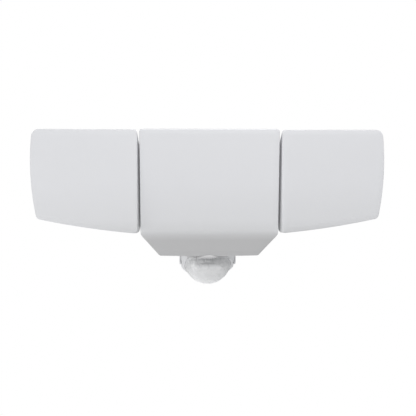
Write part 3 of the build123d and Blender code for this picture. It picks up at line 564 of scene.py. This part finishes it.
def centre_cover():
    """Opal cover of the middle panel: soft edges, a soft bend and a notch for the ball."""
    knee = BEND_Z - KNEE_DROP
    chin = (CHIN_HALF, CHIN_Z)
    sides = [
        line_between((FACE_TOP_HALF, TOP_Z), (BEND_HALF, knee), 40),
        line_between((BEND_HALF, knee), chin, 20),
        arc_between(chin, (-CHIN_HALF, CHIN_Z), (0, CHIN_Z - CHIN_SAG), 40),
        line_between((-CHIN_HALF, CHIN_Z), (-BEND_HALF, knee), 20),
        line_between((-BEND_HALF, knee), (-FACE_TOP_HALF, TOP_Z), 40),
        line_between((-FACE_TOP_HALF, TOP_Z), (FACE_TOP_HALF, TOP_Z), 40),
    ]
    outline = rounded_loop(sides, (FACE_CORNER_R, KNEE_R, FACE_CORNER_R) * 2, 60)

    def surface(x, z, drop):
        return (x, face_y(z) + drop, z)

    rings = face_rings(outline, surface)[::-1]
    edge = LIP_R + BAND_DROP
    for step in np.linspace(0.12, 1.0, 9):
        ring = []
        for x, z in outline:
            back = face_y(z) + COVER_DEPTH
            if z < BEND_Z - 10 and abs(x) < NOTCH_R:
                back = min(back, BALL.y - sqrt(NOTCH_R**2 - x * x))
            y = face_y(z) + edge + (back - face_y(z) - edge) * step
            ring.append((x * (1 - SIDE_DRAFT * (y - FRONT_Y) / FACE_TOP_HALF), y, z))
        rings.append(ring)
    low, high = outline.min(0), outline.max(0)
    middle = (low + high) / 2
    shrink = 1 - 2 * COVER_WALL / (high - low)
    inner = middle + (outline - middle) * shrink
    rim = [(x, rings[-1][i][1], z) for i, (x, z) in enumerate(inner)]
    rings.append(rim)
    rings.append([(x, min(face_y(z) + COVER_WALL + edge, p[1]), z) for (x, z), p in zip(inner, rim)])
    for share in (0.9, 0.6, 0.3):
        flat = middle + (inner - middle) * share
        rings.append([(x, face_y(z) + COVER_WALL + 0.2, z) for x, z in flat])
    shell = loft("centre_cover_shell", rings)
    return finish_piece(shell, "centre_cover", BODY_OF["centre_cover"])


def chin_brow():
    """Curved lip under the chin in front of the ball, with an index mark; it tapers to the right."""
    middle_r = BROW_IN_R + BROW_T / 2
    half = BROW_T / 2
    full = CHIN_Z - BROW_DROP
    rings = []
    for x in np.linspace(*BROW_ENDS, 260):
        share = max(0.0, (x - BROW_FULL_X) / (BROW_ENDS[1] - BROW_FULL_X))
        low = full + (BROW_DROP - BROW_END_H) * share
        near_mark = max(0.0, 1 - abs(x - BROW_MARK_X) / BROW_MARK_HALF)
        low += BROW_MARK_H * min(1.0, near_mark * 2)
        top = CHIN_Z + BROW_OVERLAP
        turn = np.arcsin(x / middle_r)
        ring = []
        shoulder = low + 0.3 * BROW_ROUND
        profile = [(-half, top), (-half, low + BROW_ROUND), (-half * 0.7, shoulder), (0, low),
                   (half * 0.7, shoulder), (half, low + BROW_ROUND), (half, top)]
        for out, z in profile:
            radius = middle_r - out
            ring.append((radius * sin(turn), BALL.y - radius * cos(turn), max(z, low)))
        rings.append(ring)
    brow = loft("chin_brow", rings)
    return finish_piece(brow, "centre_cover", BODY_OF["centre_cover"])


# ---------------------------------------------------------------- head covers

def head_point(x, depth, z, side):
    """Point of a head's own frame in the row frame."""
    px = HEAD_ORIGIN.x + x * cos(HEAD_YAW) - depth * sin(HEAD_YAW)
    py = HEAD_ORIGIN.y + x * sin(HEAD_YAW) + depth * cos(HEAD_YAW)
    return (side * px, py, HEAD_ORIGIN.z + z)


def head_section(depth):
    """Outline of the right head at a depth: its top slopes away behind the front edge."""
    slope = HEAD_TOP_START - depth / HEAD_TOP_SLOPE
    inner_top = min(0.0, slope)
    outer_top = min(HEAD_TOP[1], slope)
    outer = arc_between(HEAD_TOP, HEAD_LOW, HEAD_BULGE, 60)
    outer = [p for p in outer if p[1] < outer_top]
    if outer_top < HEAD_TOP[1]:
        outer.insert(0, (outer[0][0], outer_top))
    else:
        outer.insert(0, HEAD_TOP)
    sides = [
        outer,
        arc_between(HEAD_LOW, (0, -HEAD_INNER_H), HEAD_SAG, 40),
        line_between((0, -HEAD_INNER_H), (0, inner_top), 40),
        line_between((0, inner_top), outer[0], 40),
    ]
    fade = max(0.0, 1 - max(0.0, depth - 1.0) / 5.0)
    top_inner = 1.2 + 1.8 * fade
    top_outer = 2.0 + 6.0 * fade
    return rounded_loop(sides, (top_outer, 5.0, 3.0, top_inner), 70)


def head_cover(side, name):
    """Opal cover of one head: soft edges, and a top that slopes to the back."""
    outline = head_section(0)

    def surface(x, z, drop):
        return head_point(x, drop, z, side)

    rings = face_rings(outline, surface)[::-1]
    edge = LIP_R + BAND_DROP
    depths = [edge] + list(np.linspace(edge + 0.3, HEAD_COVER_DEPTH, 12))
    for depth in depths[1:]:
        section = head_section(depth)
        rings.append([head_point(x, depth, z, side) for x, z in section])
    section = head_section(HEAD_COVER_DEPTH)
    low, high = section.min(0), section.max(0)
    middle = (low + high) / 2
    inner = middle + (section - middle) * (1 - 2 * COVER_WALL / (high - low))
    rings.append([head_point(x, HEAD_COVER_DEPTH, z, side) for x, z in inner])
    rings.append([head_point(x, COVER_WALL + edge, z, side) for x, z in inner])
    for share in (0.9, 0.6, 0.3):
        flat = middle + (inner - middle) * share
        rings.append([head_point(x, COVER_WALL + 0.3, z, side) for x, z in flat])
    return finish_piece(loft(name + "_shell", rings), name, BODY_OF[name])


# ---------------------------------------------------------------- sensor dome

# Shares of the way from rim to pole where the rows of facets end, and the facets in each row
DOME_ROWS = (0.0, 0.17, 0.40, 0.62, 0.82, 1.0)
DOME_COUNTS = (18, 16, 12, 8, 4)


def sensor_dome():
    """Milky dome with rows of pillowed lens facets, and a flange under the bezel."""
    tilt = Matrix.Rotation(-SENSOR_TILT, 3, "X")
    rim = atan2(-FLANGE_LOW, LENS_R)
    around = 288
    outer_steps = 110
    inner_steps = 14
    rings = []

    def ring_at(radius, height):
        return [(radius * sin(2 * pi * k / around), -radius * cos(2 * pi * k / around), height)
                for k in range(around)]

    rings.append(ring_at(LENS_R - LENS_WALL, FLANGE_TOP))
    rings.append(ring_at(FLANGE_R, FLANGE_TOP))
    rings.append(ring_at(FLANGE_R, FLANGE_LOW))
    for i in range(outer_steps):
        share = i / (outer_steps - 0.7)
        angle = rim + (pi / 2 - rim) * share
        row = max(k for k in range(len(DOME_COUNTS)) if share >= DOME_ROWS[k])
        v = (share - DOME_ROWS[row]) / (DOME_ROWS[row + 1] - DOME_ROWS[row])
        count = DOME_COUNTS[row]
        ring = []
        for k in range(around):
            turn = 2 * pi * k / around
            u = (turn / (2 * pi) * count + 0.5 * (row % 2)) % 1.0
            pillow = (1 - (2 * u - 1) ** 4) * (1 - (2 * v - 1) ** 4)
            radius = LENS_R - PILLOW + PILLOW * pillow
            flat = radius * cos(angle)
            ring.append((flat * sin(turn), -flat * cos(turn), -radius * sin(angle)))
        rings.append(ring)
    for i in range(inner_steps):
        angle = pi / 2 - (pi / 2 - atan2(-FLANGE_TOP, LENS_R)) * (i + 0.3) / (inner_steps + 0.3)
        radius = LENS_R - LENS_WALL
        rings.append(ring_at(radius * cos(angle), -radius * sin(angle)))
    rings.append(rings[0])
    placed = [[tuple(tilt @ Vector(p) + BALL) for p in ring] for ring in rings]
    return finish_piece(loft("sensor_dome", placed, close_end=False), "sensor_lens", BODY_OF["sensor_lens"])


# ---------------------------------------------------------------- build

centre_cover()
chin_brow()
head_cover(1, "right_cover")
head_cover(-1, "left_cover")
sensor_dome()

SOFT_NODES = {
    "centre_housing": 0.7, "left_housing": 0.9, "right_housing": 0.9, "wall_plate": 0.6,
    "left_knuckle": 0.4, "right_knuckle": 0.4, "sensor_ball": 0.4, "sensor_bezel": 0.4,
    "swivel_cup": 0.3, "terminal_block": 0.3, "relay": 0.3, "transformer": 0.3,
    "time_dial": 0.2, "lux_dial": 0.2, "range_dial": 0.2,
}
for soft_node, soft_width in SOFT_NODES.items():
    softened(soft_node, soft_width)


# ---------------------------------------------------------------- stage, light, camera

FLOOR_HALF = 2.3
FLOOR_Z = -0.95
FLOOR_GLOW = 0.30
SOFT_LIGHT = 0.20


def area_light(name, location, aim, size, power):
    """Soft square light aimed at a point."""
    data = bpy.data.lights.new(name, "AREA")
    data.size = size
    data.energy = power
    obj = bpy.data.objects.new(name, data)
    obj.location = location
    obj.rotation_euler = (Vector(aim) - Vector(location)).to_track_quat("-Z", "Y").to_euler()
    scene.collection.objects.link(obj)
    return obj


def stage_floor():
    """Plain pale floor, far below the lamp as it hangs on its wall."""
    mesh = bpy.data.meshes.new("floor")
    bm = bmesh.new()
    bmesh.ops.create_grid(bm, x_segments=8, y_segments=8, size=FLOOR_HALF)
    bm.to_mesh(mesh)
    bm.free()
    obj = bpy.data.objects.new("floor", mesh)
    obj.location = (0, 0, FLOOR_Z)
    scene.collection.objects.link(obj)
    mat, tree, shader = material("floor_paint")
    cloud = noise(tree, 1.5)
    stops = ((0.3, (0.86, 0.86, 0.865)), (0.7, (0.9, 0.9, 0.905)))
    tree.links.new(ramp(tree, cloud, stops), shader.inputs["Base Color"])
    shader.inputs["Roughness"].default_value = 0.9
    shader.inputs["Emission Color"].default_value = (1, 1, 1, 1)
    shader.inputs["Emission Strength"].default_value = FLOOR_GLOW
    mesh.materials.append(mat)
    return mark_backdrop(obj)


def studio_world():
    """White behind the lamp for the camera, and a soft even light for everything else."""
    world = bpy.data.worlds.new("studio")
    world.use_nodes = True
    tree = world.node_tree
    tree.nodes.clear()
    out = tree.nodes.new("ShaderNodeOutputWorld")
    mix = tree.nodes.new("ShaderNodeMixShader")
    rays = tree.nodes.new("ShaderNodeLightPath")
    seen = tree.nodes.new("ShaderNodeBackground")
    seen.inputs["Color"].default_value = (1, 1, 1, 1)
    seen.inputs["Strength"].default_value = 1.0
    soft_light = tree.nodes.new("ShaderNodeBackground")
    soft_light.inputs["Color"].default_value = (0.97, 0.98, 1.0, 1)
    soft_light.inputs["Strength"].default_value = SOFT_LIGHT
    tree.links.new(rays.outputs["Is Camera Ray"], mix.inputs["Fac"])
    tree.links.new(soft_light.outputs[0], mix.inputs[1])
    tree.links.new(seen.outputs[0], mix.inputs[2])
    tree.links.new(mix.outputs[0], out.inputs[0])
    return world


stage_floor()
scene.world = studio_world()
area_light("key", (0.12, -1.05, 1.13), (0, -0.09, -0.02), 0.5, 19.0)
area_light("side_fill", (-0.60, -0.18, -0.35), (0, -0.06, -0.09), 0.25, 1.35)
area_light("low_fill", (0.55, -0.25, -0.40), (0, -0.06, -0.09), 0.25, 0.35)
area_light("back_left", (-1.3, 1.3, 1.0), (0, 0, 0), 0.9, 14.0)
area_light("back_right", (1.3, 1.3, 0.9), (0, 0, 0), 0.9, 10.0)

camera_data = bpy.data.cameras.new("camera")
camera_data.sensor_width = 36.0
camera_data.lens = CAM_LENS
camera_data.clip_start = 0.01
camera = bpy.data.objects.new("camera", camera_data)
back = Vector((sin(CAM_AZIMUTH) * cos(CAM_ELEVATION), -cos(CAM_AZIMUTH) * cos(CAM_ELEVATION),
               sin(CAM_ELEVATION)))
camera.location = CAM_TARGET + back * CAM_DISTANCE
camera.rotation_euler = (-back).to_track_quat("-Z", "Y").to_euler()
scene.collection.objects.link(camera)
scene.camera = camera
scene.view_settings.view_transform = "Standard"
